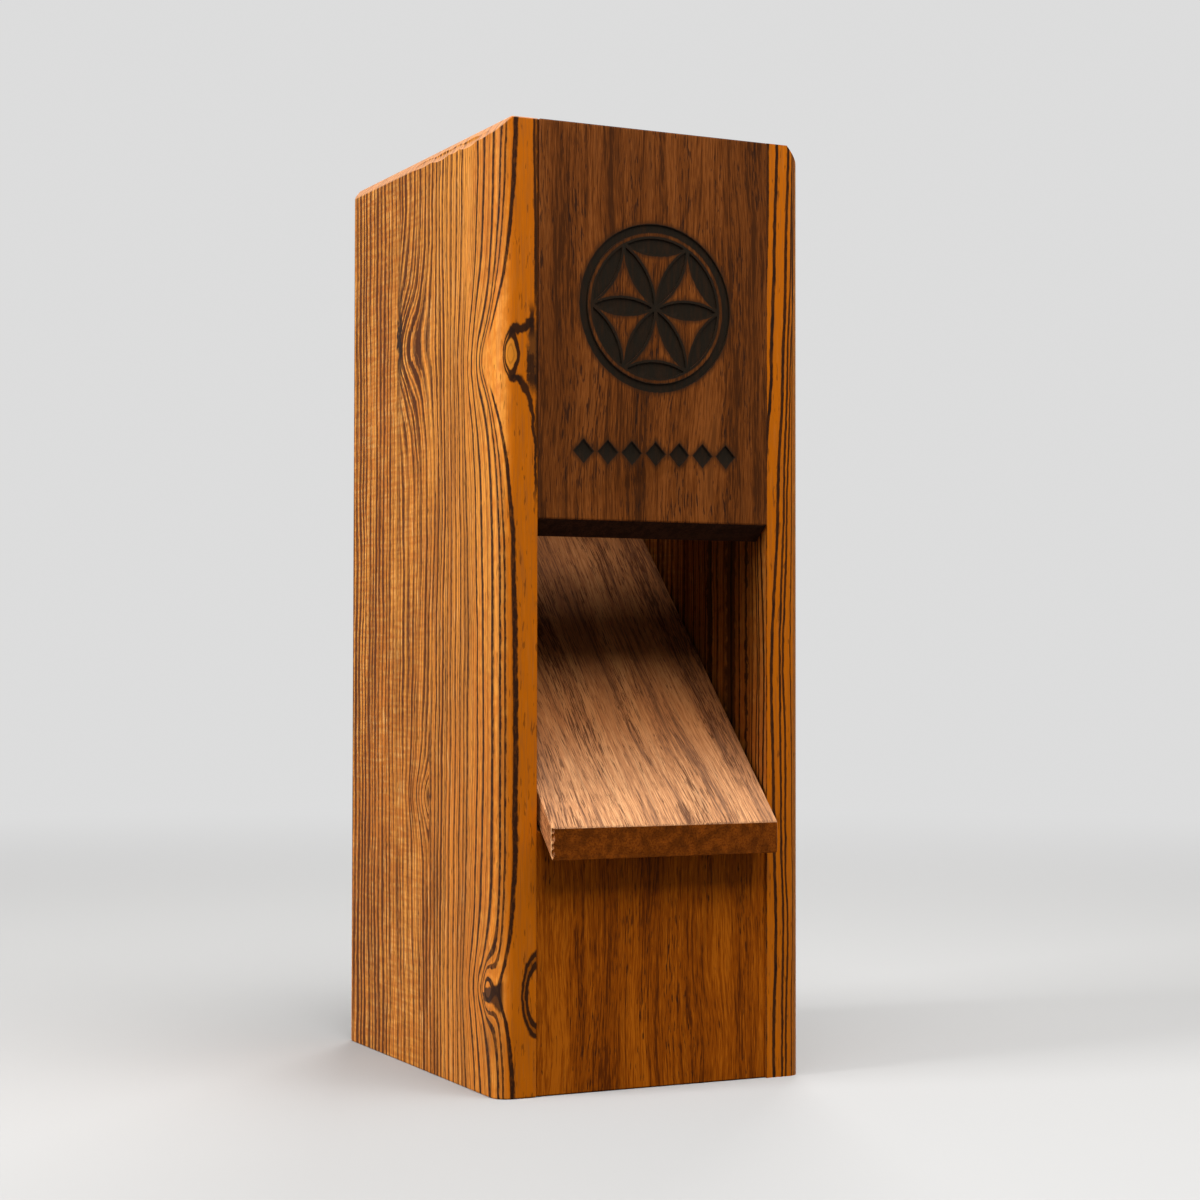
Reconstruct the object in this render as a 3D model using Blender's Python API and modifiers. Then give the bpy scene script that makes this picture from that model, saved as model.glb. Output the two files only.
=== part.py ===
"""Dice tower: hardwood boards glued into a tall box, open at the top, with two baffles and an exit ramp.

The front faces -Y and +Z is up. The origin is the centre of the footprint, on the floor.
"""

import bmesh
import bpy
from math import cos, radians, sin, tan

# Overall size of the box that the two side walls span
TOWER_WIDTH = 0.0770
TOWER_DEPTH = 0.09525
TOWER_HEIGHT = 0.2159

# Side walls
WALL_THICKNESS = 0.0095
WALL_ROUNDING = 0.0040
ROUNDING_STEPS = 6

# Boards between the walls
FRONT_BOARD_THICKNESS = 0.0050
BACK_BOARD_THICKNESS = 0.0050
BOTTOM_BOARD_THICKNESS = 0.0050
UPPER_FRONT_PROUD = 0.0003
LOWER_FRONT_RECESS = 0.0005
BACK_RECESS = 0.0005

# Exit opening: height of its lintel, and how far the lintel's slope drops towards the inside
LINTEL_HEIGHT = 0.1270
LINTEL_DROP = 0.0038

# Exit ramp: its nose stands out in front of the walls and is cut plumb
RAMP_THICKNESS = 0.0052
RAMP_SLOPE = radians(45)
NOSE_REACH = 0.0063
NOSE_HEIGHT = 0.0593
RAMP_SIDE_CLEARANCE = 0.0007

# Baffles: each stops one die passage short of the board that it drops dice on, and both are equally long
BAFFLE_THICKNESS = 0.0050
BAFFLE_SLOPE = radians(45)
DIE_PASSAGE = 0.0290
UPPER_BAFFLE_DROP = 0.0050

# Glue line between neighbouring boards, and the eased edges of every board
GLUE_LINE = 0.0003
EDGE_EASING = 0.0004
EASING_STEPS = 2
WELD_DISTANCE = 0.00001
EASING_ANGLE = radians(20)

# Places worked out from the sizes above
FRONT_Y = NOSE_REACH - (TOWER_DEPTH + NOSE_REACH) / 2
BACK_Y = FRONT_Y + TOWER_DEPTH
NOSE_Y = FRONT_Y - NOSE_REACH
INSIDE_WIDTH = TOWER_WIDTH - 2 * WALL_THICKNESS

UPPER_FRONT_Y = FRONT_Y - UPPER_FRONT_PROUD
UPPER_INSIDE_Y = UPPER_FRONT_Y + FRONT_BOARD_THICKNESS
LOWER_FRONT_Y = FRONT_Y + LOWER_FRONT_RECESS
LOWER_INSIDE_Y = LOWER_FRONT_Y + FRONT_BOARD_THICKNESS
BACK_OUTSIDE_Y = BACK_Y - BACK_RECESS
BACK_INSIDE_Y = BACK_OUTSIDE_Y - BACK_BOARD_THICKNESS

# Where the baffles' upper faces meet the panels that carry them
MIDDLE_SEAT_Y = UPPER_INSIDE_Y + GLUE_LINE
UPPER_SEAT_Y = BACK_INSIDE_Y - GLUE_LINE
UPPER_SEAT_Z = TOWER_HEIGHT - UPPER_BAFFLE_DROP

# Wood colours
STRIPED_ORANGE = (0.42, 0.17, 0.04)
DARK_FRONT_BROWN = (0.15, 0.045, 0.012)
LOWER_FRONT_BROWN = (0.17, 0.045, 0.008)
RAMP_TAN = (0.45, 0.20, 0.09)
INNER_BROWN = (0.30, 0.14, 0.06)


def wood(name, colour, roughness):
    """An oiled wood of one colour."""
    material = bpy.data.materials.new(name)
    material.use_nodes = True
    shader = material.node_tree.nodes["Principled BSDF"]
    shader.inputs["Base Color"].default_value = (*colour, 1)
    shader.inputs["Roughness"].default_value = roughness
    shader.inputs["Metallic"].default_value = 0
    return material


def ease_edges(board):
    """Takes the sharpness off every edge where two flat faces meet."""
    easing = board.modifiers.new("eased edges", "BEVEL")
    easing.width = EDGE_EASING
    easing.segments = EASING_STEPS
    easing.limit_method = "ANGLE"
    easing.angle_limit = EASING_ANGLE


def finish(board, material):
    """Gives a board its wood and its place under the tower's empty."""
    board.data.materials.append(material)
    board.parent = tower_empty
    tower.objects.link(board)


def side_wall(name, side):
    """A side wall, rounded over along its outer front, back and top edges. side is -1 at the left, 1 at the right."""
    shape = bmesh.new()
    bmesh.ops.create_cube(shape, size=1)
    bmesh.ops.scale(shape, vec=(WALL_THICKNESS, TOWER_DEPTH, TOWER_HEIGHT), verts=shape.verts)
    outer_face = max(shape.faces, key=lambda face: side * face.calc_center_median().x)
    bottom_edge = min(outer_face.edges, key=lambda edge: sum(vert.co.z for vert in edge.verts))
    rounded = [edge for edge in outer_face.edges if edge is not bottom_edge]
    bmesh.ops.bevel(
        shape,
        geom=rounded,
        offset=WALL_ROUNDING,
        segments=ROUNDING_STEPS,
        profile=0.5,
        affect="EDGES",
    )
    mesh = bpy.data.meshes.new(name)
    shape.to_mesh(mesh)
    shape.free()
    mesh.shade_smooth()
    mesh.set_sharp_from_angle(angle=EASING_ANGLE)
    wall = bpy.data.objects.new(name, mesh)
    wall.location = (
        side * (TOWER_WIDTH - WALL_THICKNESS) / 2,
        (FRONT_Y + BACK_Y) / 2,
        TOWER_HEIGHT / 2,
    )
    ease_edges(wall)
    return wall


def profile_board(name, outline, side_clearance=GLUE_LINE):
    """A board between the side walls, from its outline in (y, z) as seen from the side."""
    curve = bpy.data.curves.new(name, "CURVE")
    curve.dimensions = "2D"
    curve.fill_mode = "BOTH"
    curve.extrude = INSIDE_WIDTH / 2 - side_clearance
    spline = curve.splines.new("POLY")
    spline.points.add(len(outline) - 1)
    for point, (y, z) in zip(spline.points, outline):
        point.co = (y, z, 0, 1)
    spline.use_cyclic_u = True
    board = bpy.data.objects.new(name, curve)
    board.rotation_euler = (radians(90), 0, radians(90))
    weld = board.modifiers.new("welded caps", "WELD")
    weld.merge_threshold = WELD_DISTANCE
    ease_edges(board)
    return board


def ramp_top_height(y):
    """Height of the exit ramp's upper face at a place along the tower's depth."""
    return NOSE_HEIGHT + (y - NOSE_Y) * tan(RAMP_SLOPE)


def front_panel_upper():
    """The panel above the exit. Its lower edge slopes down towards the inside."""
    outline = [
        (UPPER_FRONT_Y, LINTEL_HEIGHT),
        (UPPER_INSIDE_Y, LINTEL_HEIGHT - LINTEL_DROP),
        (UPPER_INSIDE_Y, TOWER_HEIGHT),
        (UPPER_FRONT_Y, TOWER_HEIGHT),
    ]
    return profile_board("front_panel_upper", outline)


def front_panel_lower():
    """The panel under the ramp. Its top edge is cut to lie against the ramp's underside."""
    underside_drop = (RAMP_THICKNESS + GLUE_LINE) / cos(RAMP_SLOPE)
    outline = [
        (LOWER_FRONT_Y, 0),
        (LOWER_INSIDE_Y, 0),
        (LOWER_INSIDE_Y, ramp_top_height(LOWER_INSIDE_Y) - underside_drop),
        (LOWER_FRONT_Y, ramp_top_height(LOWER_FRONT_Y) - underside_drop),
    ]
    return profile_board("front_panel_lower", outline)


def back_panel():
    """The panel that closes the back from the floor to the rim."""
    outline = [
        (BACK_INSIDE_Y, 0),
        (BACK_OUTSIDE_Y, 0),
        (BACK_OUTSIDE_Y, TOWER_HEIGHT),
        (BACK_INSIDE_Y, TOWER_HEIGHT),
    ]
    return profile_board("back_panel", outline)


def bottom_panel():
    """The panel that closes the foot, between the lower front panel and the back panel."""
    front = LOWER_INSIDE_Y + GLUE_LINE
    back = BACK_INSIDE_Y - GLUE_LINE
    outline = [(front, 0), (back, 0), (back, BOTTOM_BOARD_THICKNESS), (front, BOTTOM_BOARD_THICKNESS)]
    return profile_board("bottom_panel", outline)


def exit_ramp():
    """The board that dice roll out on, from the back panel down to its nose in front of the walls."""
    back = BACK_INSIDE_Y - GLUE_LINE
    plumb_thickness = RAMP_THICKNESS / cos(RAMP_SLOPE)
    outline = [
        (NOSE_Y, NOSE_HEIGHT - plumb_thickness),
        (back, ramp_top_height(back) - plumb_thickness),
        (back, ramp_top_height(back)),
        (NOSE_Y, NOSE_HEIGHT),
    ]
    return profile_board("exit_ramp", outline, RAMP_SIDE_CLEARANCE)


def baffle_fit():
    """Height of the middle baffle's seat, and the one length that both baffles are cut to.

    The middle baffle ends a die passage above the ramp, and the upper one a die passage above the middle one.
    Raising the middle seat lengthens the first and shortens the second, each in a straight line, and the
    seat lies where the two lengths agree.
    """
    over_ramp = sin(BAFFLE_SLOPE + RAMP_SLOPE)
    over_middle = sin(2 * BAFFLE_SLOPE)
    middle_gain = cos(RAMP_SLOPE) / over_ramp
    upper_loss = cos(BAFFLE_SLOPE) / over_middle
    middle_at_zero = -(ramp_top_height(MIDDLE_SEAT_Y) * cos(RAMP_SLOPE) + DIE_PASSAGE) / over_ramp
    across = (UPPER_SEAT_Y - MIDDLE_SEAT_Y) * sin(BAFFLE_SLOPE) + UPPER_SEAT_Z * cos(BAFFLE_SLOPE)
    upper_at_zero = (across - DIE_PASSAGE) / over_middle
    seat_height = (upper_at_zero - middle_at_zero) / (middle_gain + upper_loss)
    return seat_height, middle_at_zero + seat_height * middle_gain


def baffle(name, seat_y, seat_z, direction, length):
    """A sloping board, cut plumb at its seat and square at its tip.

    Its upper face starts at seat_y, seat_z. direction is 1 where the board runs down towards the back and
    -1 towards the front. length is measured along the upper face.
    """
    tip_y = seat_y + direction * length * cos(BAFFLE_SLOPE)
    tip_z = seat_z - length * sin(BAFFLE_SLOPE)
    under_y = tip_y - direction * BAFFLE_THICKNESS * sin(BAFFLE_SLOPE)
    under_z = tip_z - BAFFLE_THICKNESS * cos(BAFFLE_SLOPE)
    outline = [
        (seat_y, seat_z - BAFFLE_THICKNESS / cos(BAFFLE_SLOPE)),
        (under_y, under_z),
        (tip_y, tip_z),
        (seat_y, seat_z),
    ]
    return profile_board(name, outline)


def baffle_middle():
    """The baffle that takes dice from the front panel back to the ramp."""
    seat_height, length = baffle_fit()
    return baffle("baffle_middle", MIDDLE_SEAT_Y, seat_height, 1, length)


def baffle_upper():
    """The baffle that takes dice from the back panel forward to the middle baffle."""
    length = baffle_fit()[1]
    return baffle("baffle_upper", UPPER_SEAT_Y, UPPER_SEAT_Z, -1, length)


for old in list(bpy.data.objects):
    bpy.data.objects.remove(old)

tower = bpy.data.collections.new("dice_tower")
bpy.context.scene.collection.children.link(tower)
tower_empty = bpy.data.objects.new("tower_frame", None)
tower.objects.link(tower_empty)

striped_wood = wood("striped_wood", STRIPED_ORANGE, 0.42)
inner_wood = wood("inner_wood", INNER_BROWN, 0.5)
finish(side_wall("side_wall_left", -1), striped_wood)
finish(side_wall("side_wall_right", 1), striped_wood)
finish(front_panel_upper(), wood("front_wood", DARK_FRONT_BROWN, 0.45))
finish(front_panel_lower(), wood("lower_front_wood", LOWER_FRONT_BROWN, 0.45))
finish(exit_ramp(), wood("ramp_wood", RAMP_TAN, 0.45))
finish(back_panel(), inner_wood)
finish(bottom_panel(), inner_wood)
finish(baffle_middle(), inner_wood)
finish(baffle_upper(), inner_wood)
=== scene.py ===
"""Dice tower of oiled hardwood: two striped side walls, with panels, an exit ramp and baffles glued between them.

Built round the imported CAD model, in metres: the front faces -Y, the origin is on the floor under the middle.
"""

from math import cos, radians, sin, sqrt

import bpy
from mathutils import Euler, Matrix, Vector


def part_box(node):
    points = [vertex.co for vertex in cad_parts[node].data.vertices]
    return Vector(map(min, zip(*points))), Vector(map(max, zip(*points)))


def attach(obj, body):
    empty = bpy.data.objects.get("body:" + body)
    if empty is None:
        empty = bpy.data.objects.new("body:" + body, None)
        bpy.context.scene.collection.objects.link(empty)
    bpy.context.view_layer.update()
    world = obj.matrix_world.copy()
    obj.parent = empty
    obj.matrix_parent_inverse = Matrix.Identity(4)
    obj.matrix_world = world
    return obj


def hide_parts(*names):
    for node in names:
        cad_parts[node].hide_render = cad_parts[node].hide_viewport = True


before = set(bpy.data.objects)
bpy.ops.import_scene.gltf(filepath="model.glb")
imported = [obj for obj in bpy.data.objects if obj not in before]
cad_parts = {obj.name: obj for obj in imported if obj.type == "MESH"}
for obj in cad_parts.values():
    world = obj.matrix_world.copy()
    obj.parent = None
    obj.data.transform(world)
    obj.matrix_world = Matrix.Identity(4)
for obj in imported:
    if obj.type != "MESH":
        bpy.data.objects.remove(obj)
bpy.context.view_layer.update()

# Camera: a long lens at half the tower's height, to the left of its front. Place and angles were fitted to
# the photograph with the tower's sizes held.
CAMERA_PLACE = (-0.24815, -0.52627, 0.09521)
CAMERA_YAW = radians(25.94)
CAMERA_PITCH = radians(1.507)
CAMERA_ROLL = radians(0.098)
CAMERA_LENS = 72.05
SENSOR_WIDTH = 36
NEAREST_SEEN = 0.01

bpy.ops.object.select_all(action="DESELECT")
bpy.ops.object.camera_add()
camera = bpy.context.object
camera.name = "photo_camera"
turned = Euler((radians(90) + CAMERA_PITCH, 0, -CAMERA_YAW)).to_matrix().to_4x4()
camera.matrix_world = Matrix.Translation(CAMERA_PLACE) @ turned @ Matrix.Rotation(CAMERA_ROLL, 4, "Z")
camera.data.sensor_width = SENSOR_WIDTH
camera.data.lens = CAMERA_LENS
camera.data.clip_start = NEAREST_SEEN
bpy.context.scene.camera = camera


# Studio: a pale paper floor that fades into a pale ground, so every view has the same plain background.
# A soft lamp hangs in front above, a second stands at the left, a third at the back, and a dim sky fills the rest.
FLOOR_RADIUS = 6.0
FLOOR_SEGMENTS = 96
PAPER_COLOUR = (0.42, 0.417, 0.412)
# The darker paper that the tower sees, so that little light comes up from the floor
PAPER_TO_WOOD = (0.10, 0.097, 0.093)
PAPER_ROUGHNESS, PAPER_GLOSS = 0.9, 0.1
GROUND_COLOUR = (0.72, 0.72, 0.72)
FADE_FROM, FADE_TO = 0.25, 1.0
SKY_TO_WOOD = (0.12, 0.12, 0.12)
# Each lamp's place, the length of its sides and its power
LAMPS = (
    ("front_lamp", (0.05, -0.350, 0.90), 0.80, 13.5),
    ("left_lamp", (-1.235, 0.00, 0.49), 0.50, 19.5),
    ("back_lamp", (0.60, 0.95, 0.85), 0.50, 9.0),
)
LAMP_AIM = Vector((0, 0, 0.10))


class Signal:
    """A socket in a material's nodes. Arithmetic on it adds Math nodes, and node() adds any other node."""

    def __init__(self, tree, socket=None):
        self.tree = tree
        self.socket = socket

    def node(self, kind, settings, sockets, output=0):
        """Adds a node, sets its settings, and then gives its sockets their values or links."""
        made = self.tree.nodes.new(kind)
        for name, value in settings.items():
            setattr(made, name, value)
        for name, value in sockets.items():
            if isinstance(value, Signal):
                self.tree.links.new(value.socket, made.inputs[name])
            else:
                made.inputs[name].default_value = value
        return Signal(self.tree, made.outputs[output])

    def calculate(self, operation, *values):
        return self.node("ShaderNodeMath", {"operation": operation}, dict(enumerate(values)))

    def __add__(self, other):
        return self.calculate("ADD", self, other)

    def __sub__(self, other):
        return self.calculate("SUBTRACT", self, other)

    def __rsub__(self, other):
        return self.calculate("SUBTRACT", other, self)

    def __mul__(self, other):
        return self.calculate("MULTIPLY", self, other)

    def __truediv__(self, other):
        return self.calculate("DIVIDE", self, other)

    def __pow__(self, other):
        return self.calculate("POWER", self, other)

    def __abs__(self):
        return self.calculate("ABSOLUTE", self)

    __radd__ = __add__
    __rmul__ = __mul__


def rise(value, low, high):
    """0 below low, 1 above high, and a smooth rise between. It falls where low is the larger."""
    limits = {"Value": value, "From Min": low, "From Max": high}
    return value.node("ShaderNodeMapRange", {"interpolation_type": "SMOOTHSTEP"}, limits)


def most(first, *others):
    """The largest of several values."""
    for other in others:
        first = first.calculate("MAXIMUM", first, other)
    return first


def new_material(name, roughness, gloss):
    """A material with nodes, and the start of its Signals."""
    material = bpy.data.materials.new(name)
    material.use_nodes = True
    shader = material.node_tree.nodes["Principled BSDF"]
    shader.inputs["Roughness"].default_value = roughness
    shader.inputs["Specular IOR Level"].default_value = gloss
    return material, shader, Signal(material.node_tree)


def cloud(place, scale, detail=2.0):
    """Soft noise round 0, mostly from -0.25 to 0.25."""
    return place.node("ShaderNodeTexNoise", {}, {"Vector": place, "Scale": scale, "Detail": detail}) - 0.5


def stretched(place, factors):
    """A place with each of its axes scaled, so that a pattern on it stretches along the small ones."""
    return place.node("ShaderNodeVectorMath", {"operation": "MULTIPLY"}, {0: place, 1: factors})


def blend(share, first, second):
    """A colour that goes from first to second as share goes from 0 to 1."""
    settings = {"data_type": "RGBA", "clamp_factor": True}
    return share.node("ShaderNodeMix", settings, {0: share, 6: first, 7: second}, 2)


def opaque(colour):
    return (*colour, 1.0)


def seen_by_camera(start):
    """1 where the camera looks, straight or by way of a gloss or a clear thing, and 0 where other light arrives."""
    kinds = ("Camera", "Glossy", "Transmission")
    return most(*(start.node("ShaderNodeLightPath", {}, {}, f"Is {kind} Ray") for kind in kinds))


bpy.ops.mesh.primitive_circle_add(vertices=FLOOR_SEGMENTS, radius=FLOOR_RADIUS, fill_type="NGON")
studio = bpy.context.object
studio.name = "studio_floor"
paper, paper_shader, start = new_material("studio_paper", PAPER_ROUGHNESS, PAPER_GLOSS)
seen = seen_by_camera(start)
tree = paper.node_tree
tree.links.new(blend(seen, opaque(PAPER_TO_WOOD), opaque(PAPER_COLOUR)).socket, paper_shader.inputs["Base Color"])
place = start.node("ShaderNodeTexCoord", {}, {}, "Object")
away = place.node("ShaderNodeVectorMath", {"operation": "LENGTH"}, {0: place}, "Value")
ground = start.node("ShaderNodeEmission", {}, {"Color": opaque(GROUND_COLOUR), "Strength": 1.0})
faded = rise(away, FADE_FROM, FADE_TO) * seen
mixed = start.node("ShaderNodeMixShader", {}, {0: faded, 1: Signal(tree, paper_shader.outputs[0]), 2: ground})
tree.links.new(mixed.socket, tree.nodes["Material Output"].inputs["Surface"])
studio.data.materials.append(paper)

for lamp_name, lamp_place, size, power in LAMPS:
    bpy.ops.object.light_add(type="AREA", location=lamp_place)
    lamp = bpy.context.object
    lamp.name = lamp_name
    lamp.data.size = size
    lamp.data.energy = power
    lamp.rotation_euler = (LAMP_AIM - Vector(lamp_place)).to_track_quat("-Z", "Y").to_euler()

world = bpy.data.worlds.new("studio_sky")
bpy.context.scene.world = world
world.use_nodes = True
tree = world.node_tree
sky_colour = blend(seen_by_camera(Signal(tree)), opaque(SKY_TO_WOOD), opaque(GROUND_COLOUR))
tree.links.new(sky_colour.socket, tree.nodes["Background"].inputs["Color"])
bpy.context.scene.view_settings.view_transform = "Standard"


# Left side wall: one board of striped tropical hardwood, planed, rounded over along its outer edges and oiled.
# The panels and boards between the walls are glued to its inner face. Its rings bow round a small knot on the
# front corner, an old branch in the middle and a second knot at the foot.
ROUNDING = 0.0040
ROUNDING_STEPS = 9
ON_FACE = 0.00001
# How far in the planed top edge reaches at the front and at the back, and its width for each unit of height
CHAMFERS_LEFT = (0.00295, 0.00260)
CHAMFER_STEEPNESS = 0.95
EASING = 0.0004
EASING_STEPS = 3
EASED_ABOVE, SMOOTH_BELOW = radians(20), radians(40)
LEVELLING = 80
# Where the planed edge is torn: how far in each scoop reaches, then its place along Y, half length and depth
SCOOP_REACH = 0.0019
SCOOPS = (
    (-0.0340, 0.0045, 0.0006),
    (-0.0265, 0.0060, 0.0010),
    (-0.0180, 0.0045, 0.0007),
    (-0.0100, 0.0060, 0.0009),
    (0.0010, 0.0075, 0.0005),
)
TAN_GROUND = (0.80, 0.315, 0.048)
RED_GROUND = (0.60, 0.185, 0.020)
# A plain orange: the wood's own near the front rings, and on the front face a painted shade
FRONT_ORANGE_AND_SHADE = (0.57, 0.140, 0.002)
FIBRE_BROWN = (0.36, 0.105, 0.016)
EYE_ORANGE = (0.62, 0.22, 0.02)
BARK_BROWN = (0.10, 0.035, 0.008)
RING_BROWN = (0.085, 0.022, 0.004)
RING_BLACK = (0.022, 0.0085, 0.004)
# Pale streaks along the fibres: a painted sheen
PAINTED_FIBRE_SHEEN = (0.84, 0.42, 0.120)
# Bare planed wood on the top edge, partly a painted highlight from above
SHAVED_PINK_AND_TOP_HIGHLIGHT = (0.50, 0.25, 0.130)
WALL_END_BROWN = (0.30, 0.12, 0.045)
# What the inner face keeps of each colour: a painted shade that darkens the inside of the tower
INNER_SHADE = (0.6, 0.55, 0.6)
WALL_ROUGHNESS, WOOD_GLOSS = 0.46, 0.05
WALL_RELIEF = 0.00015
RELIEF_STRENGTH = 0.5
# In millimetres: how far the front edges stand before the middle, the spacing of the wide, fine and hairlike
# rings, and how far the rings go back for each millimetre inwards
WALL_FRONT = 44.475
RING_SPACINGS = (2.45, 1.13, 0.57)
SLANT_LEFT = 0.6
# The rings that come out near the front corner: each by its place, width and darkness
FRONT_LINES_LEFT = (
    (-2.75, 0.95, 1.0),
    (-0.9, 0.65, 0.9),
    (0.35, 0.85, 0.95),
    (2.9, 1.40, 1.0),
    (5.2, 0.60, 0.6),
    (7.9, 1.35, 1.0),
    (11.1, 1.25, 0.95),
    (13.6, 0.75, 0.6),
    (16.5, 1.45, 0.95),
    (18.4, 0.95, 0.85),
    (21.0, 1.25, 0.95),
    (23.9, 1.15, 0.9),
    (26.8, 1.25, 0.9),
    (29.3, 0.90, 0.8),
)


def select_edges(board, chosen):
    """Selects the edges whose two ends both pass the test."""
    bpy.ops.object.mode_set(mode="EDIT")
    bpy.ops.mesh.select_mode(type="EDGE")
    bpy.ops.mesh.select_all(action="DESELECT")
    bpy.ops.object.mode_set(mode="OBJECT")
    points = board.data.vertices
    for edge in board.data.edges:
        edge.select = chosen(*(points[index].co for index in edge.vertices))
    bpy.ops.object.mode_set(mode="EDIT")


def new_board(name, low, high, turn=0.0):
    """A block between two corners, turned about X through its middle, and left in object mode."""
    bpy.ops.object.select_all(action="DESELECT")
    middle, size = (low + high) / 2, high - low
    bpy.ops.mesh.primitive_cube_add(size=1, location=middle, rotation=(turn, 0, 0), scale=size)
    board = bpy.context.object
    board.name = name
    board.data.name = name
    bpy.ops.object.transform_apply(location=True, rotation=True, scale=True)
    return board


def smooth_shading(board):
    """Smooths the shading over the roundings, and keeps it level on the flat faces."""
    bpy.ops.object.shade_smooth_by_angle(angle=SMOOTH_BELOW)
    levelling = board.modifiers.new("level faces", "WEIGHTED_NORMAL")
    levelling.mode = "FACE_AREA"
    levelling.weight = LEVELLING
    levelling.keep_sharp = True
    bpy.ops.object.modifier_apply(modifier=levelling.name)


def ease_edges(board):
    """Takes the sharpness off every edge between flat faces."""
    easing = board.modifiers.new("eased edges", "BEVEL")
    easing.width = EASING
    easing.segments = EASING_STEPS
    easing.limit_method = "ANGLE"
    easing.angle_limit = EASED_ABOVE
    bpy.ops.object.modifier_apply(modifier=easing.name)
    smooth_shading(board)


def cut_away(board, point, normal):
    """Cuts the board along a plane, keeps what lies behind its normal, and closes the cut."""
    bpy.ops.object.mode_set(mode="EDIT")
    bpy.ops.mesh.select_all(action="SELECT")
    bpy.ops.mesh.bisect(plane_co=point, plane_no=normal, clear_outer=True, use_fill=True)
    bpy.ops.object.mode_set(mode="OBJECT")


def cut_out(board, cutters, operation="DIFFERENCE"):
    """Takes the cutters' shapes out of the board, or with INTERSECT all the rest, and removes the cutters."""
    for cutter in cutters:
        cut = board.modifiers.new("cut", "BOOLEAN")
        cut.operation = operation
        cut.solver = "EXACT"
        cut.object = cutter
        bpy.ops.object.select_all(action="DESELECT")
        bpy.context.view_layer.objects.active = board
        board.select_set(True)
        bpy.ops.object.modifier_apply(modifier=cut.name)
        bpy.data.objects.remove(cutter)


def side_wall(name, node, side, chamfers):
    """A side wall, rounded over along its outer front and back edges, and planed off along the outer top edge.

    chamfers are how far in from the outer face the planing reaches, at the front and at the back.
    """
    low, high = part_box(node)
    wall = new_board(name, low, high)
    outer = low.x if side < 0 else high.x

    def outer_and_upright(one, two):
        return max(abs(one.x - outer), abs(two.x - outer)) < ON_FACE and abs(one.z - two.z) > high.z / 2

    select_edges(wall, outer_and_upright)
    bpy.ops.mesh.bevel(offset=ROUNDING, segments=ROUNDING_STEPS, profile=0.5)
    bpy.ops.object.mode_set(mode="OBJECT")
    at_front, at_back = chamfers
    taper = (at_back - at_front) / (high.y - low.y)
    cut_away(wall, (outer, low.y, high.z - at_front / CHAMFER_STEEPNESS), (side, taper, CHAMFER_STEEPNESS))
    ease_edges(wall)
    return wall


def strokes(along, lines):
    """Dark lines across a growth-ring coordinate, each given by its middle, width and darkness."""
    drawn = 0.0
    for middle, width, dark in lines:
        drawn = most(rise(abs(along - middle), 0.55 * width, 0.28 * width) * dark, drawn)
    return drawn


def bell(value, middle, spread):
    """1 at the middle, falling smoothly to nothing on both sides."""
    away = (value - middle) / spread
    return (away * away + 1.0) ** -2.0


def peak(value, middle, spread):
    """1 at the middle like a bell, but with a sharper tip and longer tails."""
    away = (value - middle) / spread
    return ((away * away + 0.03) ** 0.5 + 1.0) ** -3.2 * 1.66


def trace(along, points):
    """A smooth line through points, each a place along and the value there."""
    value = points[0][1]
    for (here, now), (there, then) in zip(points, points[1:]):
        value = rise(along, here, there) * (then - now) + value
    return value


def parts(place):
    """The three axes of a place."""
    return [place.node("ShaderNodeSeparateXYZ", {}, {0: place}, axis) for axis in range(3)]


def joined(first, second, third):
    return first.node("ShaderNodeCombineXYZ", {}, {0: first, 1: second, 2: third})


def rings_between(along, place, spacing, seed, frayed):
    """Irregular dark rings: each has its own width and darkness, and fades in and out along its length."""
    turn = along.node("ShaderNodeTexNoise", {"noise_dimensions": "1D"}, {"W": along * 0.11 + seed, "Scale": 1.0})
    count = along / spacing + turn * 1.6 + frayed
    ring = count.calculate("FLOOR", count)
    share = count - ring
    dark = ring.node("ShaderNodeTexWhiteNoise", {"noise_dimensions": "1D"}, {"W": ring + seed})
    wide = ring.node("ShaderNodeTexWhiteNoise", {"noise_dimensions": "1D"}, {"W": ring + seed + 61.7})
    fade = cloud(stretched(place, (0.3, 0.3, 0.03)), 1.0) * 2.0
    half = wide * 0.10 + 0.21 + fade * 0.14
    line = rise(abs(share - 0.5), half * 1.2 + 0.03, half * 0.6)
    return line * (dark * 0.30 + 0.80 + fade * 0.6)


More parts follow.
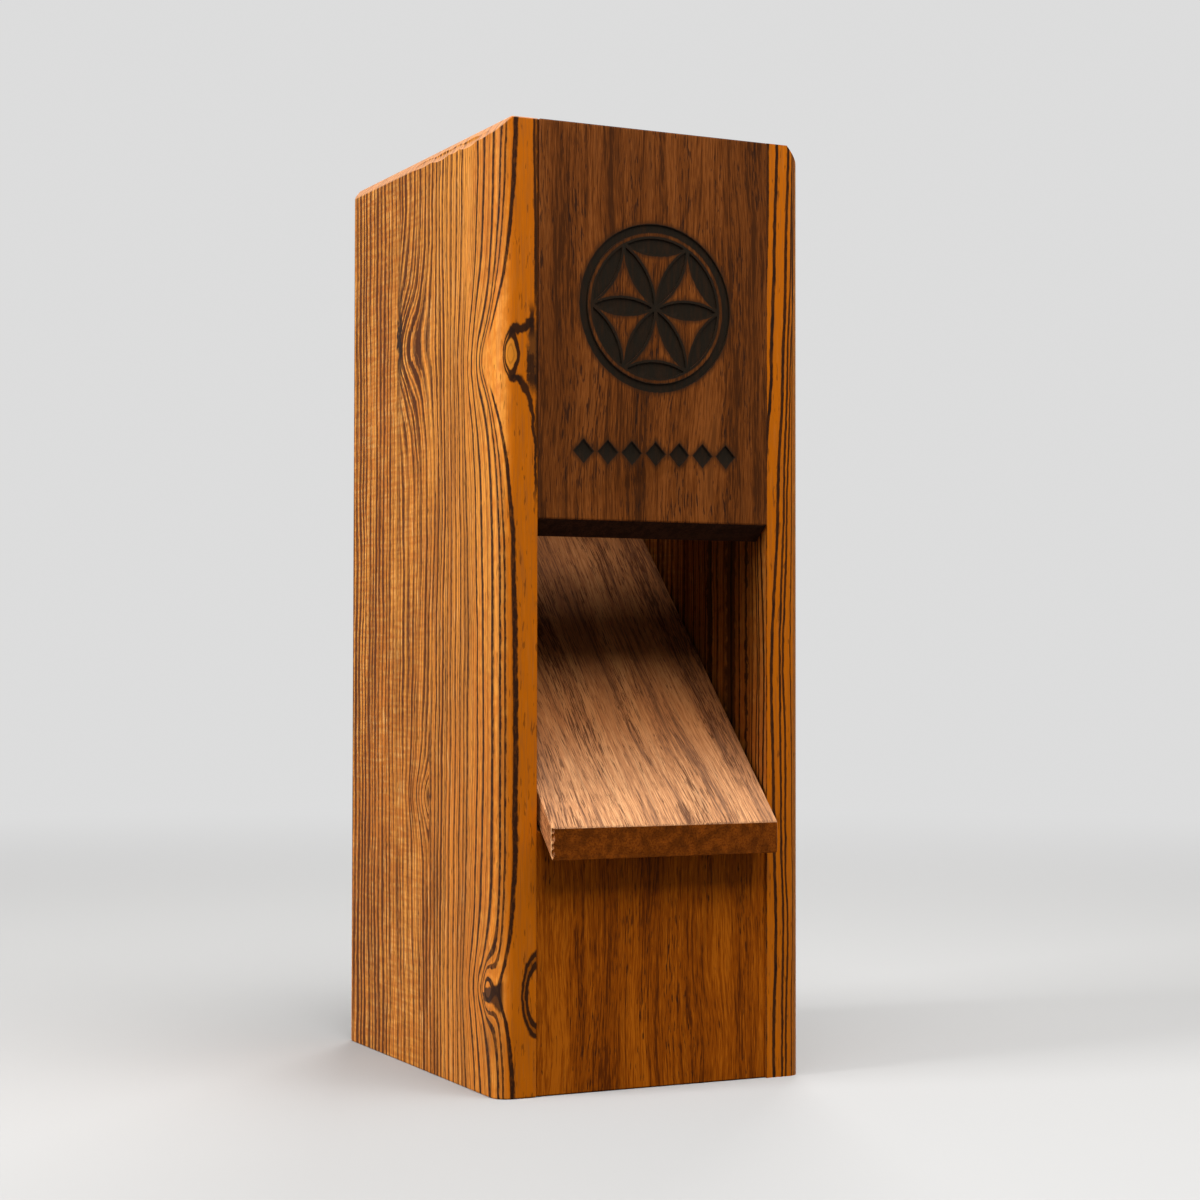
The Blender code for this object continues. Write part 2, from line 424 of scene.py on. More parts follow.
def striped_hardwood(name, outer_x, side, slant, bow, lines, gaps, marks):
    """Striped hardwood for a side wall. Lengths inside are millimetres.

    Growth rings run along the wall's height. Their coordinate grows with depth from the front edge and shrinks
    inwards from the outer face by slant, so that the stripes go over the rounded corner onto the front edge.
    bow says how far knots push the rings back, gaps where drawn lines are lost, and marks draws what lies on top.
    """
    material, shader, start = new_material(name, WALL_ROUGHNESS, WOOD_GLOSS)
    tree = material.node_tree
    place = start.node("ShaderNodeTexCoord", {}, {}, "Object")
    place = place.node("ShaderNodeVectorMath", {"operation": "SCALE"}, {0: place, "Scale": 1000.0})
    across, depth, height = parts(place)
    inward = (across - outer_x * 1000) * -side
    depth = depth + WALL_FRONT
    shift, knotty = bow(depth - inward * slant, height)
    wave = cloud(stretched(place, (0.03, 0.025, 0.010)), 1.0, 1.0) * 7.0
    ripple = cloud(stretched(place, (0.09, 0.09, 0.05)), 1.0, 3.0) * 2.6
    ragged = cloud(stretched(place, (1.3, 1.3, 0.6)), 1.0, 3.0)
    wander = cloud(stretched(place, (0.55, 0.55, 0.35)), 1.0, 3.0)
    ring_place = depth - inward * slant - shift
    waving, rippling = rise(ring_place, 6.0, 36.0), rise(ring_place, 0.0, 14.0) * 0.7 + 0.3
    ring_place = ring_place + wave * waving + ripple * rippling

    # The drawn lines of the front give way to irregular rings, with finer and hairlike ones between them
    wide_spacing, fine_spacing, hair_spacing = RING_SPACINGS
    front_share = rise(ring_place, 31.5, 29.5)
    near = rise(ring_place, 24.0, 6.0)
    front = strokes(ring_place + ragged * 0.35, lines) * (1.0 - gaps(ring_place, height))
    wide = rings_between(ring_place, place, wide_spacing, 3.1 + side, ragged * 0.25) * (1.0 - front_share)
    ringed = rise(ring_place, -4.0, 0.5)
    fine = rings_between(ring_place, place, fine_spacing, 17.3 + side, ragged * 0.35) * (0.68 - near * 0.35) * ringed
    hair = rings_between(ring_place, place, hair_spacing, 41.9 + side, ragged * 0.35) * (0.36 - near * 0.15) * ringed
    dark = most(front, wide, fine, hair) * (1.0 + knotty * 0.3 + ragged * 0.8)

    # The ground goes from red to tan along the fibres, and is a plain orange near the front corner: the wood's own
    # orange near the front rings, and on the front face a painted shade, darker and without the side's sheen
    fibre = cloud(stretched(place, (1.5, 1.5, 0.13)), 1.0, 4.0)
    hairline = cloud(stretched(place, (4.5, 4.5, 0.10)), 1.0, 2.0)
    pore = rise(cloud(stretched(place, (1.7, 1.7, 0.30)), 1.0, 1.0), 0.15, 0.23)
    tone = ring_place.node("ShaderNodeTexNoise", {"noise_dimensions": "1D"}, {"W": ring_place * 0.45, "Scale": 1.0})
    broad = cloud(stretched(place, (0.05, 0.05, 0.012)), 1.0, 2.0)
    comb = cloud(stretched(place, (0.10, 0.10, 1.1)), 1.0, 2.0) * rise(depth, 25.0, 60.0)
    low_down = rise(height, 160.0, 30.0) * -0.10
    golden = rise(tone * 0.5 - 0.25 + broad * 0.7 + fibre * 0.8 + comb * 1.1 + wander * near + low_down, -0.2, 0.2)
    ground = blend(golden, opaque(RED_GROUND), opaque(TAN_GROUND))
    ground = blend(near * 0.15 + rise(depth, 0.8, 0.0) * 0.85, ground, opaque(FRONT_ORANGE_AND_SHADE))
    ground = blend(rise(fibre, 0.0, 0.28) * 0.6, ground, opaque(FIBRE_BROWN))
    ground = blend(rise(hairline, 0.0, 0.16) * 0.42, ground, opaque(FIBRE_BROWN))
    # Pale streaks along the fibres are a painted sheen, fainter near the front
    ground = blend(rise(fibre - comb * 0.4, -0.03, -0.22) * (0.75 - near * 0.7), ground, opaque(PAINTED_FIBRE_SHEEN))
    ring_colour = blend(near * 0.8 + knotty * 0.3, opaque(RING_BROWN), opaque(RING_BLACK))
    colour = blend(dark, ground, ring_colour)
    colour = blend(pore * 0.45, colour, opaque(RING_BLACK))
    colour = marks(colour, inward - depth, depth, height, wander)
    # The inner face is darkened here: painted shade inside the tower
    inner_shaded = colour.node("ShaderNodeVectorMath", {"operation": "MULTIPLY"}, {0: colour, 1: INNER_SHADE})
    colour = blend(rise(inward, 9.3, 9.5), colour, inner_shaded)

    # The planed top edge is bare and pinkish, and paler where it faces up, partly a painted highlight from above; the
    # flat top shows end grain
    facing = start.node("ShaderNodeTexCoord", {}, {}, "Normal")
    upward = parts(facing)[2]
    shaved_and_top_lit = rise(upward, 0.12, 0.35) * (0.62 + fibre * 0.8)
    colour = blend(shaved_and_top_lit, colour, opaque(SHAVED_PINK_AND_TOP_HIGHLIGHT))
    end_grain = rise(upward, 0.80, 0.97)
    colour = blend(end_grain * 0.5, colour, opaque(WALL_END_BROWN))
    tree.links.new(colour.socket, shader.inputs["Base Color"])
    rough = WALL_ROUGHNESS + dark * 0.10 + pore * 0.2 + fibre * 0.25 + end_grain * 0.3
    tree.links.new(rough.socket, shader.inputs["Roughness"])
    relief = fibre * 0.5 - pore * 0.6 - dark * 0.15
    surface = {"Strength": RELIEF_STRENGTH, "Distance": WALL_RELIEF, "Height": relief}
    bump = relief.node("ShaderNodeBump", {}, surface)
    tree.links.new(bump.socket, shader.inputs["Normal"])
    return material


def left_bow(place, height):
    """How far the left wall's rings are pushed back by its knots, and where they darken beside one."""
    corner_push = trace(place, ((5.0, 10.8), (11.0, 10.6), (16.0, 7.6), (22.5, 2.6), (32.0, 0.0)))
    corner_knot = peak(height, 162.5, rise(place, 2.0, 22.0) * 14.0 + 24.0) * corner_push
    foot_push = trace(place, ((0.5, 3.6), (6.5, 9.8), (9.5, 8.8), (13.5, 5.3), (27.0, 0.0)))
    foot_knot = peak(height, 23.5, rise(place, 8.0, 18.0) * 12.0 + 18.0) * foot_push
    inside = rise(place, 60.4, 59.8)
    branch = bell(height, 171.0, 19.0) * rise(place, 32.0, 60.0) * inside * 12.0
    pin_knot = bell(height, 64.0, 9.0) * rise(place, 39.4, 40.6) * rise(place, 60.0, 41.0) * 6.5
    knotty = bell(height, 170.0, 22.0) * rise(place, 38.0, 48.0) * inside
    return corner_knot + foot_knot + branch + pin_knot, knotty


def left_gaps(ring, height):
    """Where the left wall's front rings are lost: one beside the eye, and two in a plain band at the top."""
    beside_eye = rise(abs(height - 162.0), 8.0, 4.5) * rise(ring, -1.2, -1.9)
    plain_band = rise(height, 172.0, 188.0) * rise(ring, 12.4, 13.2) * rise(ring, 20.0, 19.0)
    return beside_eye + plain_band


def left_marks(colour, around, depth, height, wander):
    """The left wall's knots: around is the way over the front corner, from the outer face to the front edge."""
    # The eye on the corner, pointed at both ends, with a double dark outline on its outer side
    sideways, upward = abs((around - 2.7) / 2.3), abs((height - 163.2) / 5.7)
    eye = (sideways**1.6 + upward**1.6) ** 0.625 + wander * 0.30
    outline = rise(eye, 0.60, 0.70) * rise(eye, 1.10, 0.98)
    seam = rise(abs(eye - 0.86), 0.06, 0.02) * rise(around, 2.4, 1.6)
    # The crown and spike above it, the bark beside it, and the branch that runs down to the inner edge
    crown_line = trace(around, ((2.0, 168.3), (4.6, 168.8), (8.0, 170.2)))
    crown = rise(abs(height - crown_line + wander * 3.0), 1.5, 0.8)
    crown = crown * rise(around, 1.9, 2.7) * rise(around, 9.2, 7.8)
    spike = rise(abs(around - 7.8 + wander * 1.5), 0.85, 0.35)
    spike = spike * rise(height, 166.0, 169.0) * rise(height, 176.0, 172.0)
    link = rise(abs(height - 157.6 + wander * 3.0), 1.2, 0.6)
    link = link * rise(around, 2.3, 3.1) * rise(around, 5.9, 4.7)
    fork_line = trace(height, ((158.4, 4.6), (155.8, 6.2), (153.0, 7.5), (149.0, 8.2), (142.0, 8.8)))
    fork_half = trace(height, ((158.4, 1.15), (150.0, 0.55), (140.0, 0.30)))
    fork = rise(abs(around - fork_line + wander * 1.6), fork_half * 1.25, fork_half * 0.6)
    fork = fork * rise(height, 159.2, 158.0) * rise(height, 127.0, 136.0)
    bark = rise(around + wander * 3.0, 6.3, 7.3) * rise(height, 153.0, 158.0) * rise(height, 171.5, 167.5)
    strip = rise(around + wander * 1.5, 8.5, 9.1) * rise(height, 128.0, 150.0)
    joint_line = rise(abs(around - trace(height, ((214.0, 8.35), (184.0, 8.75))) + wander * 0.5), 0.42, 0.22)
    joint_line = joint_line * rise(height, 170.0, 178.0)
    # The old branch in the middle of the face
    scar = rise(abs(depth - 60.0 + wander * 5.0), 1.7, 0.9) * bell(height, 173.0, 15.0)
    # The blob at the foot, and the crescent on the front edge beside it
    blob_half = trace(depth, ((0.8, 3.4), (2.6, 2.1), (6.5, 1.5), (8.0, 0.2)))
    blob = rise(abs(height - 22.3 + wander * 2.0), blob_half * 1.15, blob_half * 0.8)
    blob = blob * rise(depth, 0.5, 1.0) * rise(depth, 8.2, 7.8)
    pin = bell(height, 64.0, 0.9) * bell(depth, 39.8, 1.3)
    smudge = bell(height, 12.0, 5.0) * bell(depth, 4.6, 3.0)
    moon_side, moon_up = (around - 9.9) / 4.0, (height - 22.3) / 9.3
    moon = (moon_side * moon_side + moon_up * moon_up) ** 0.5 + wander * 0.25
    crescent = rise(moon, 0.60, 0.68) * rise(moon, 1.10, 1.00) * (1.0 - rise(abs(moon - 0.86), 0.06, 0.02) * 0.5)
    colour = blend(bark * 0.9, colour, opaque(BARK_BROWN))
    colour = blend(rise(eye, 0.72, 0.60) * 0.75, colour, opaque(EYE_ORANGE))
    for mark, strength in (
        (rise(eye, 0.30, 0.34) * rise(eye, 0.46, 0.42), 0.25),
        (outline - seam * 0.6, 0.96),
        (bark * rise(wander, 0.0, 0.12), 0.8),
        (crown, 0.97),
        (spike, 0.95),
        (link, 0.95),
        (fork, 0.95),
        (strip, 0.9),
        (joint_line, 0.93),
        (scar * 1.3, 0.85),
        (blob, 0.9),
        (smudge * (wander * 2.0 + 0.6), 0.8),
        (pin, 0.8),
        (crescent, 0.96),
    ):
        colour = blend(mark * strength, colour, opaque(RING_BLACK))
    return colour


wall_left = side_wall("left_wall", "side_wall_left", -1, CHAMFERS_LEFT)
low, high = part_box("side_wall_left")
scoops = []
for scoop_y, half_length, depth in SCOOPS:
    edge = (low.x, scoop_y, high.z - CHAMFERS_LEFT[1] / CHAMFER_STEEPNESS)
    bpy.ops.mesh.primitive_uv_sphere_add(
        segments=24, ring_count=12, radius=1, location=edge, rotation=(0, radians(-45), 0)
    )
    bpy.context.object.scale = (SCOOP_REACH, half_length, depth)
    scoops.append(bpy.context.object)
cut_out(wall_left, scoops)
smooth_shading(wall_left)
wall_left.data.materials.append(
    striped_hardwood(
        "left_striped_hardwood", low.x, -1, SLANT_LEFT, left_bow, FRONT_LINES_LEFT, left_gaps, left_marks
    )
)
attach(wall_left, "root")
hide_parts("side_wall_left")


# Right side wall: the left wall's pair, cut from a straighter part of the same plank and finished the same way.
# The dark lines on its front edge lean inwards from the top to the middle, and back again to the foot.
CHAMFERS_RIGHT = (0.0041, 0.0027)
SLANT_RIGHT = 0.9
# Further round the corner the lines are plain rings: each by its place, width and darkness
FRONT_LINES_RIGHT = (
    (-1.3, 0.35, 0.7),
    (-0.3, 0.45, 0.7),
    (1.2, 0.9, 0.85),
    (4.4, 1.0, 0.9),
    (8.1, 1.1, 0.9),
    (11.6, 0.8, 0.8),
    (14.9, 1.0, 0.9),
    (18.0, 0.9, 0.8),
    (21.2, 1.1, 0.9),
    (24.3, 0.8, 0.8),
    (27.6, 1.0, 0.9),
)
# The lines that lean: each by its half width, its darkness, and its heights with the distance from the outer face
FIRST_LEAN = ((216, 9.2), (200, 9.25), (178, 9.8))
SECOND_LEAN = ((216, 6.75), (190, 7.45), (165, 8.2), (138, 9.9))
THIRD_LEAN = ((216, 3.65), (185, 4.45), (160, 5.25), (135, 6.45), (92, 8.25), (65, 7.65), (32, 7.05), (10, 7.6))
FOURTH_LEAN = ((216, 2.15), (190, 2.75), (165, 3.9), (135, 4.85), (98, 6.0), (55, 5.65), (35, 5.1), (12, 5.4))
FIFTH_LEAN = ((210, 1.4), (185, 1.8), (160, 3.1), (130, 4.1), (94, 5.2), (76, 4.5), (50, 4.5), (33, 3.85), (12, 4.4))
SIXTH_LEAN = ((175, 2.2), (130, 2.5), (100, 3.1), (70, 2.5), (35, 2.1), (15, 2.6))
LEANING_LINES = (
    (0.42, 0.90, FIRST_LEAN),
    (0.50, 0.97, SECOND_LEAN),
    (0.46, 0.95, THIRD_LEAN),
    (0.34, 0.92, FOURTH_LEAN),
    (0.32, 0.90, FIFTH_LEAN),
    (0.27, 0.85, SIXTH_LEAN),
)
# The broad dark bands on its inner face: each by its depth behind the front edge and its half width
INNER_BANDS = ((9.5, 0.6), (17.0, 2.3), (27.5, 1.2))


def no_bow(place, height):
    """The right wall has no knot: nothing is pushed back, and nothing darkens."""
    return place * 0.0, place * 0.0


def no_gaps(ring, height):
    return ring * 0.0


def right_marks(colour, around, depth, height, wander):
    """The lines that lean across the right wall's front edge, and the bands on its inner face."""
    for half, strength, points in LEANING_LINES:
        line = rise(abs(around - trace(height, points) + wander * 0.5), half * 1.15, half * 0.6)
        colour = blend(line * (strength + wander * 0.3), colour, opaque(RING_BLACK))
    inside = rise(around + depth, 9.2, 9.5)
    for middle, half in INNER_BANDS:
        band = rise(abs(depth - middle + wander * 4.0), half * 1.3, half * 0.7) * inside
        colour = blend(band * 0.8, colour, opaque(RING_BLACK))
    return colour


wall_right = side_wall("right_wall", "side_wall_right", 1, CHAMFERS_RIGHT)
low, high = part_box("side_wall_right")
wall_right.data.materials.append(
    striped_hardwood(
        "right_striped_hardwood", high.x, 1, SLANT_RIGHT, no_bow, FRONT_LINES_RIGHT, no_gaps, right_marks
    )
)
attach(wall_right, "root")
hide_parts("side_wall_right")


# Upper front panel: a dark brown hardwood board glued between the walls, its lower edge planed to a slope.
# A compass rosette in a ring, and a row of lozenges under it, are burned about a third of a millimetre into it.
LINTEL_DROP = 0.0038
PANEL_BROWN = (0.150, 0.040, 0.0062)
PANEL_LIGHT = (0.250, 0.072, 0.0130)
PANEL_DARK = (0.060, 0.017, 0.0035)
PANEL_PORE = (0.020, 0.008, 0.004)
PANEL_END = (0.030, 0.011, 0.005)
PLAIN_RELIEF = 0.00018
CHAR_BLACK = (0.014, 0.010, 0.006)
SCORCH_BROWN = (0.045, 0.016, 0.005)
PETAL = 0.0162
PETAL_GAP = 0.0004
RING_OUTER, RING_INNER = 0.0190, 0.0172
ROSETTE_HEIGHT = 0.1755
LOZENGE_HEIGHT = 0.1425
LOZENGE_SPACING = 0.0060
LOZENGE_STEPS = 3
LOZENGE_HALF = (0.0024, 0.0026)
BURN_DEPTH = 0.00035
PETAL_SIDES, RING_SIDES = 96, 128
# In millimetres along Y: the burning is full as far back as the first, and gone at the second
BURN_FULL, BURN_GONE = -44.3, -44.0
# The glue line that the CAD solids leave beside a board: the real board fills it
GLUE_LINE = Vector((0.0003, 0, 0))


def plain_hardwood(name, along, tones, pore_colour, end_colour, roughness=0.45, pores=0.0, fineness=1.0, figure=None):
    """An open-pored hardwood. along is the angle of its grain above the horizontal, in the plane through Y and Z.

    tones are its dark, middle and light colours, pores above 0 opens more of them, fineness above 1 makes them
    narrower, and figure adds marks of the board's own. Lengths inside are millimetres, x across and z along the
    grain.
    """
    material, shader, start = new_material(name, roughness, WOOD_GLOSS)
    tree = material.node_tree
    place = start.node("ShaderNodeTexCoord", {}, {}, "Object")
    straight = place.node(
        "ShaderNodeMapping",
        {"vector_type": "POINT"},
        {"Vector": place, "Rotation": (radians(90) - along, 0, 0), "Scale": (1000.0, 1000.0, 1000.0)},
    )
    bend = cloud(stretched(straight, (0.04, 0.04, 0.012)), 1.0, 2.0)
    across, through, length = parts(straight)
    place = joined(across + bend * 9.0, through, length)
    band = cloud(stretched(place, (0.13, 0.13, 0.008)), 1.0, 3.0)
    streak = cloud(stretched(place, (0.75, 0.75, 0.020)), 1.0, 3.0)
    fibre = cloud(stretched(place, (2.6, 2.6, 0.09)), 1.0, 3.0)
    hair = cloud(stretched(place, (5.5, 5.5, 0.30)), 1.0, 3.0)
    fleck = cloud(stretched(place, (2.8 * fineness, 2.8 * fineness, 0.28)), 1.0, 2.0)
    crowd = rise(cloud(stretched(place, (0.16, 0.16, 0.020)), 1.0, 3.0), -0.15, 0.2)
    pore = rise(fleck + crowd * 0.16 + hair * 0.25 + pores, 0.17, 0.27)
    dark, middle, light = (opaque(tone) for tone in tones)
    tone = band * 0.9 + streak * 0.7 + fibre * 0.8 + hair * 0.7
    colour = blend(rise(tone, -0.20, 0.0), dark, middle)
    colour = blend(rise(tone, 0.0, 0.20), colour, light)
    colour = blend(rise(streak + fibre * 0.9, 0.08, 0.28) * 0.6, colour, dark)
    colour = blend(pore * 0.85, colour, opaque(pore_colour))
    if figure:
        colour = figure(colour, straight)
    # Faces across the grain are sawn end grain, mottled and speckled with pores
    facing = start.node("ShaderNodeTexCoord", {}, {}, "Normal")
    axis = (0.0, cos(along), sin(along))
    end_grain = facing.node("ShaderNodeVectorMath", {"operation": "DOT_PRODUCT"}, {0: facing, 1: axis}, "Value")
    end_grain = rise(abs(end_grain), 0.50, 0.64)
    speckle = rise(cloud(place, 2.6, 3.0), -0.12, 0.20)
    mottle = rise(cloud(place, 0.45, 3.0), -0.18, 0.18)
    end_dark, end_dim, end_bright = (opaque(channel * share for channel in end_colour) for share in (0.3, 0.75, 1.5))
    end_tone = blend(speckle * 0.6, blend(mottle, end_dim, end_bright), end_dark)
    colour = blend(end_grain, colour, end_tone)
    tree.links.new(colour.socket, shader.inputs["Base Color"])
    rough = roughness + pore * 0.2 + fibre * 0.3 + end_grain * 0.3
    tree.links.new(rough.socket, shader.inputs["Roughness"])
    relief = fibre * 0.4 + hair * 0.4 - pore * 0.6
    surface = {"Strength": RELIEF_STRENGTH, "Distance": PLAIN_RELIEF, "Height": relief}
    bump = relief.node("ShaderNodeBump", {}, surface)
    tree.links.new(bump.socket, shader.inputs["Normal"])
    return material


def new_cutter(sides, radius, depth, across, height, scale=(1, 1, 1)):
    """A disc with so many sides, set into the panel's front face at a place across and a height."""
    bpy.ops.object.select_all(action="DESELECT")
    centre = (across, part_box("front_panel_upper")[0].y, height)
    bpy.ops.mesh.primitive_cylinder_add(
        vertices=sides, radius=radius, depth=depth, location=centre, rotation=(radians(90), 0, 0), scale=scale
    )
    return bpy.context.object


def burned_ornament(colour, place):
    """Chars the rosette and the lozenges, and scorches the wood close round them. Lengths are millimetres."""
    across, through, height = parts(place)
    upward = height - ROSETTE_HEIGHT * 1000
    away = (across * across + upward * upward) ** 0.5
    petal = PETAL * 1000
    # The angle is folded into one twelfth of a turn: fold is 0 along an inner petal
    angle = across.calculate("ARCTAN2", upward, across)
    fold = angle.calculate("PINGPONG", angle, radians(30))
    along, aside = away * fold.calculate("COSINE", fold), away * fold.calculate("SINE", fold)
    along, aside = along - petal / 2, aside + petal * sqrt(0.75)
    inner_gap = (along * along + aside * aside) ** 0.5 - petal
    # An outer petal is measured from the other side of the fold
    rest = radians(30) - fold
    along, aside = away * rest.calculate("COSINE", rest) - petal * sqrt(3), away * rest.calculate("SINE", rest)
    outer_gap = most((along * along + aside * aside) ** 0.5 - petal, away - petal)
    ring_gap = abs(away - (RING_OUTER + RING_INNER) * 500) - (RING_OUTER - RING_INNER) * 500
    level = abs(height - LOZENGE_HEIGHT * 1000)
    beside = across.calculate("PINGPONG", across, LOZENGE_SPACING * 500)
    lozenge_gap = (beside / (LOZENGE_HALF[0] * 1000) + level / (LOZENGE_HALF[1] * 1000) - 1.0) * 1.7
    row_end = LOZENGE_SPACING * 1000 * (LOZENGE_STEPS + 0.5)
    lozenge_gap = lozenge_gap + rise(abs(across), row_end - 0.2, row_end) * 9.0
    gap = inner_gap
    for other_gap in (outer_gap, ring_gap, lozenge_gap):
        gap = gap.calculate("MINIMUM", gap, other_gap)
    front = rise(through, BURN_GONE, BURN_FULL)
    grain = cloud(stretched(place, (1.2, 1.2, 0.25)), 1.0, 3.0)
    scorched = rise(gap + grain * 1.6, 1.3, 0.1) * front * 0.75
    charred = rise(gap + grain * 0.5, 0.28, 0.02) * front * (grain * 0.5 + 0.95)
    return blend(charred, blend(scorched, colour, opaque(SCORCH_BROWN)), opaque(CHAR_BLACK))


low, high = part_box("front_panel_upper")
panel_upper = new_board("upper_front_panel", low - GLUE_LINE, high + GLUE_LINE)
slope = LINTEL_DROP / (high.y - low.y)
cut_away(panel_upper, (0, low.y, low.z + LINTEL_DROP), (0, -slope, -1))
ease_edges(panel_upper)

# One petal is the lens where two discs overlap. Its twelve copies and the ring round them make the rosette.
petals = []
for step in range(12):
    outer_petal = step >= 6
    turn = radians(60) * step + (radians(60) if outer_petal else 0.0)
    # An inner petal runs out from the middle, and an outer petal bridges two of its tips
    centre_at = Vector((0.5, 0)) if not outer_petal else Vector((0.75, sqrt(0.75) / 2))
    way = Vector((0, 1)) if not outer_petal else Vector((sqrt(0.75), 0.5))
    discs = []
    for sign in (-1, 1):
        spot = Matrix.Rotation(turn, 2) @ (centre_at + way * sign * sqrt(0.75)) * PETAL
        discs.append(new_cutter(PETAL_SIDES, PETAL - PETAL_GAP, 2 * BURN_DEPTH, spot.x, ROSETTE_HEIGHT + spot.y))
    cut_out(discs[0], [discs[1]], "INTERSECT")
    petals.append(discs[0])
ring = new_cutter(RING_SIDES, RING_OUTER, 2 * BURN_DEPTH, 0, ROSETTE_HEIGHT)
cut_out(ring, [new_cutter(RING_SIDES, RING_INNER, 4 * BURN_DEPTH, 0, ROSETTE_HEIGHT)])
lozenges = []
for step in range(-LOZENGE_STEPS, LOZENGE_STEPS + 1):
    lozenges.append(new_cutter(4, 1, 2, step * LOZENGE_SPACING, LOZENGE_HEIGHT, (*LOZENGE_HALF, BURN_DEPTH)))
bpy.ops.object.select_all(action="DESELECT")
for cutter in petals + lozenges + [ring]:
    cutter.select_set(True)
bpy.context.view_layer.objects.active = ring
bpy.ops.object.join()
cut_out(panel_upper, [ring])
smooth_shading(panel_upper)
panel_upper.data.materials.append(
    plain_hardwood(
        "dark_front_hardwood",
        radians(90),
        (PANEL_DARK, PANEL_BROWN, PANEL_LIGHT),
        PANEL_PORE,
        PANEL_END,
        figure=burned_ornament,
    )
)
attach(panel_upper, "root")
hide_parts("front_panel_upper")


# Lower front panel: an orange-brown hardwood board, glued between the walls, that closes the front below the ramp.
# Its top edge is cut at the ramp's slope to lie against the underside.
RAMP_SLOPE = radians(45)
LOWER_TONES = ((0.110, 0.022, 0.0010), (0.310, 0.066, 0.0012), (0.500, 0.125, 0.0040))
LOWER_PORE = (0.030, 0.009, 0.003)
LOWER_END = (0.09, 0.025, 0.004)

low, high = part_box("front_panel_lower")
panel_lower = new_board("lower_front_panel", low - GLUE_LINE, high + GLUE_LINE)
cut_away(panel_lower, (0, high.y, high.z), (0, -sin(RAMP_SLOPE), cos(RAMP_SLOPE)))
ease_edges(panel_lower)
panel_lower.data.materials.append(
    plain_hardwood("lower_front_hardwood", radians(90), LOWER_TONES, LOWER_PORE, LOWER_END, pores=-0.02)
)
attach(panel_lower, "root")
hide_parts("front_panel_lower")


# Exit ramp: a reddish brown hardwood board at 45 degrees, with its grain down the slope and its nose cut plumb; a
# painted sheen makes its top paler towards the nose.
# It is glued to the back panel and the lower front panel, and its nose stands out in front of the walls.
RAMP_THICKNESS = 0.0052
RAMP_TONES = ((0.165, 0.060, 0.022), (0.335, 0.117, 0.036), (0.480, 0.190, 0.062))
RAMP_PORE = (0.075, 0.024, 0.009)
RAMP_END = (0.175, 0.040, 0.0025)
# In millimetres along the slope, where the nose's upper edge is at 6: the painted sheen begins and is full
SHEEN_FROM, SHEEN_TO = 42.0, 8.0
# In millimetres: the top face in the grain's frame, and how far the nose stands before the middle
TOP_FACE = -77.83
NOSE_FRONT = 50.775
# How much paler each channel of the ramp's top gets at the nose under the painted sheen
NOSE_SHEEN_GAIN = (1.65, 2.15, 3.0)
TORN_FIBRE = (0.66, 0.36, 0.16)
# The bites out of the nose's left corner: each by its height, radius and depth, in metres
NOSE_CHIPS = (
    (0.0586, 0.0007, 0.0006),
    (0.0571, 0.0011, 0.0008),
    (0.0552, 0.0006, 0.0005),
    (0.0537, 0.0009, 0.0007),
)


def nose_sheen_and_torn_fibre(colour, place):
    """Paints a sheen that makes the ramp's top paler towards its nose, and colours the torn fibres of its chipped
    left corner.
    """
    across, through, up_slope = parts(place)
    pale = colour.node("ShaderNodeVectorMath", {"operation": "MULTIPLY"}, {0: colour, 1: NOSE_SHEEN_GAIN})
    on_top = rise(through, TOP_FACE + 0.6, TOP_FACE + 0.2)
    colour = blend(rise(up_slope, SHEEN_FROM, SHEEN_TO) * (on_top * 0.9 + 0.1), colour, pale)
    behind_nose = (through + up_slope) * sqrt(0.5) + NOSE_FRONT
    torn = rise(across, -27.9, -28.5) * rise(behind_nose, 1.1, 0.5)
    return blend(torn * 0.85, colour, opaque(TORN_FIBRE))


low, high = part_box("exit_ramp")
ramp_middle = (low + high) / 2
reach = (high.y - low.y) * sqrt(2) + 0.02
half_size = Vector(((high.x - low.x) / 2, reach / 2, RAMP_THICKNESS / 2))
ramp = new_board("exit_ramp_board", ramp_middle - half_size, ramp_middle + half_size, RAMP_SLOPE)
cut_away(ramp, (0, low.y, 0), (0, -1, 0))
cut_away(ramp, (0, high.y, 0), (0, 1, 0))
ease_edges(ramp)
chips = []
for height, radius, depth in NOSE_CHIPS:
    bpy.ops.mesh.primitive_uv_sphere_add(
        segments=16, ring_count=8, radius=1, location=(low.x, low.y, height), scale=(depth, depth, radius)
    )
    chips.append(bpy.context.object)
cut_out(ramp, chips)
smooth_shading(ramp)
ramp.data.materials.append(
    plain_hardwood(
        "ramp_hardwood",
        RAMP_SLOPE,
        RAMP_TONES,
        RAMP_PORE,
        RAMP_END,
        roughness=0.5,
        pores=0.06,
        fineness=1.7,
        figure=nose_sheen_and_torn_fibre,
    )
)
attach(ramp, "root")
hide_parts("exit_ramp")


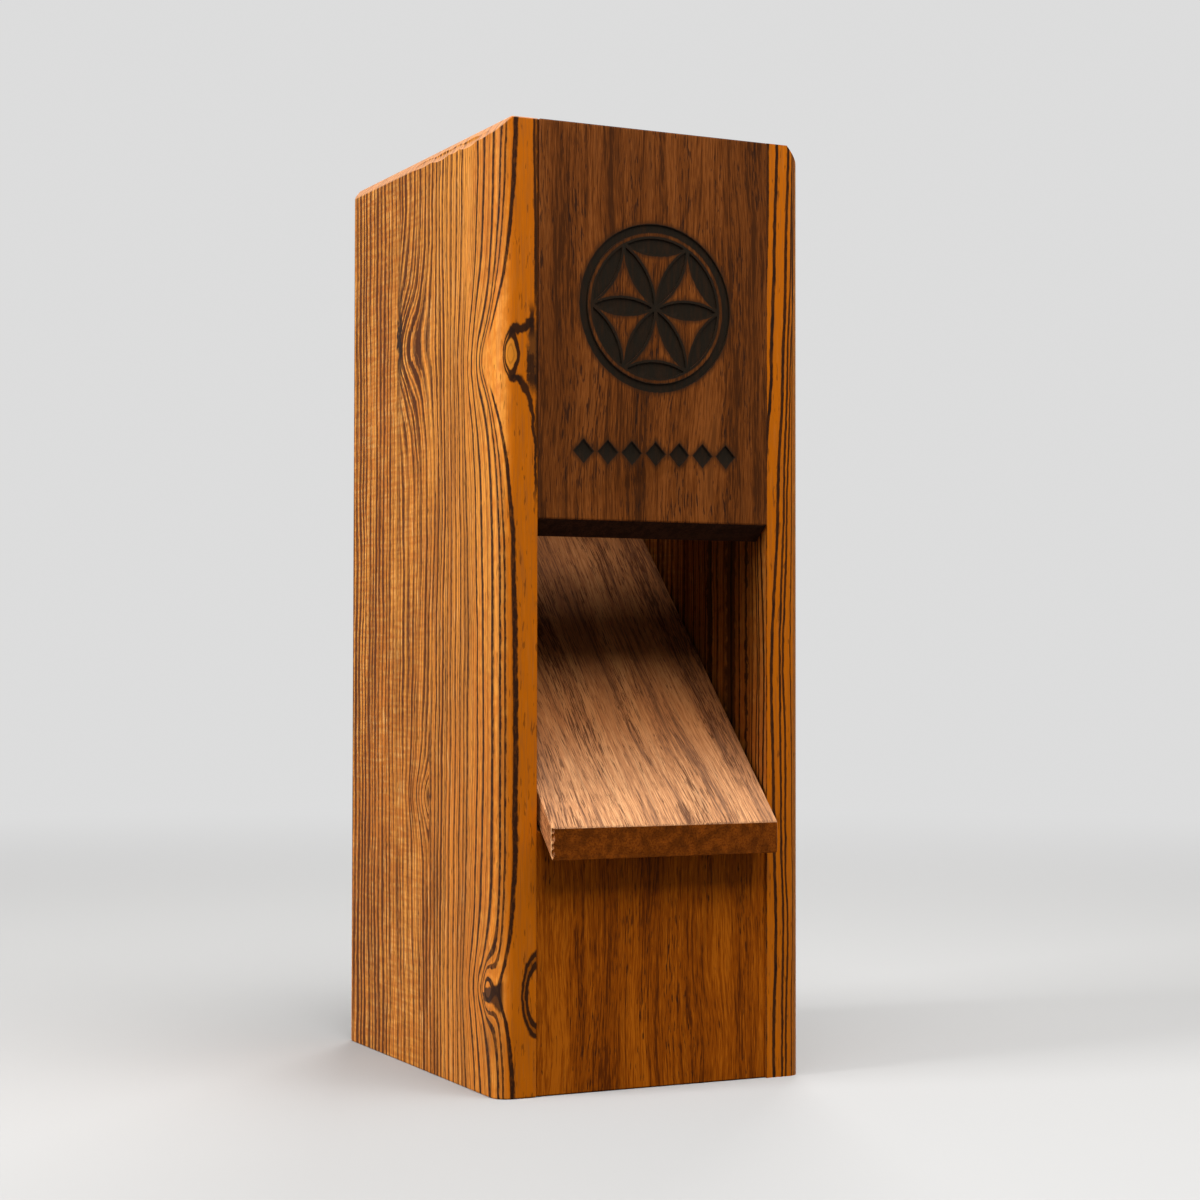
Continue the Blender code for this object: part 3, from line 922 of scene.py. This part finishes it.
# Back panel and bottom panel: plain brown boards that close the box, glued between the walls.
# They are planed and oiled like the rest, with sawn edges at the rim and the foot.
INNER_TONES = ((0.165, 0.062, 0.021), (0.285, 0.115, 0.040), (0.375, 0.165, 0.064))
INNER_PORE = (0.07, 0.028, 0.012)
INNER_END = (0.13, 0.05, 0.018)
upright_inner = plain_hardwood("inner_hardwood_upright", radians(90), INNER_TONES, INNER_PORE, INNER_END)
level_inner = plain_hardwood("inner_hardwood_level", 0.0, INNER_TONES, INNER_PORE, INNER_END)
for name, node, wood in (
    ("back_board", "back_panel", upright_inner),
    ("bottom_board", "bottom_panel", level_inner),
):
    low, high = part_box(node)
    board = new_board(name, low - GLUE_LINE, high + GLUE_LINE)
    ease_edges(board)
    board.data.materials.append(wood)
    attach(board, "root")
    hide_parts(node)


# Baffles: two short boards of the inner hardwood at 45 degrees, which break the fall from the open top.
# Each is cut plumb where it is glued to the front or back panel, and square at its free end.
BAFFLE_THICKNESS = 0.0050
BAFFLE_SLOPE = radians(45)

for name, node, direction in (
    ("middle_baffle", "baffle_middle", 1),
    ("upper_baffle", "baffle_upper", -1),
):
    low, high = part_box(node)
    seat_y = low.y if direction > 0 else high.y
    length = (high.y - low.y) / cos(BAFFLE_SLOPE) + 2 * BAFFLE_THICKNESS
    # The upper face runs from the seat's top corner down at the slope
    downhill = Vector((0, direction * cos(BAFFLE_SLOPE), -sin(BAFFLE_SLOPE)))
    outward = Vector((0, direction * sin(BAFFLE_SLOPE), cos(BAFFLE_SLOPE)))
    seat = Vector((0, seat_y, high.z))
    centre = seat + downhill * (high.y - low.y) / cos(BAFFLE_SLOPE) / 2 - outward * BAFFLE_THICKNESS / 2
    half_size = Vector(((high.x - low.x) / 2, length / 2, BAFFLE_THICKNESS / 2))
    baffle = new_board(name, centre - half_size, centre + half_size, -direction * BAFFLE_SLOPE)
    cut_away(baffle, (0, seat_y, 0), (0, -direction, 0))
    tip = seat + downhill * ((high.z - low.z) / sin(BAFFLE_SLOPE) - BAFFLE_THICKNESS)
    cut_away(baffle, tip, downhill)
    ease_edges(baffle)
    baffle.data.materials.append(
        plain_hardwood(name + "_hardwood", -direction * BAFFLE_SLOPE, INNER_TONES, INNER_PORE, INNER_END)
    )
    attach(baffle, "root")
    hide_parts(node)
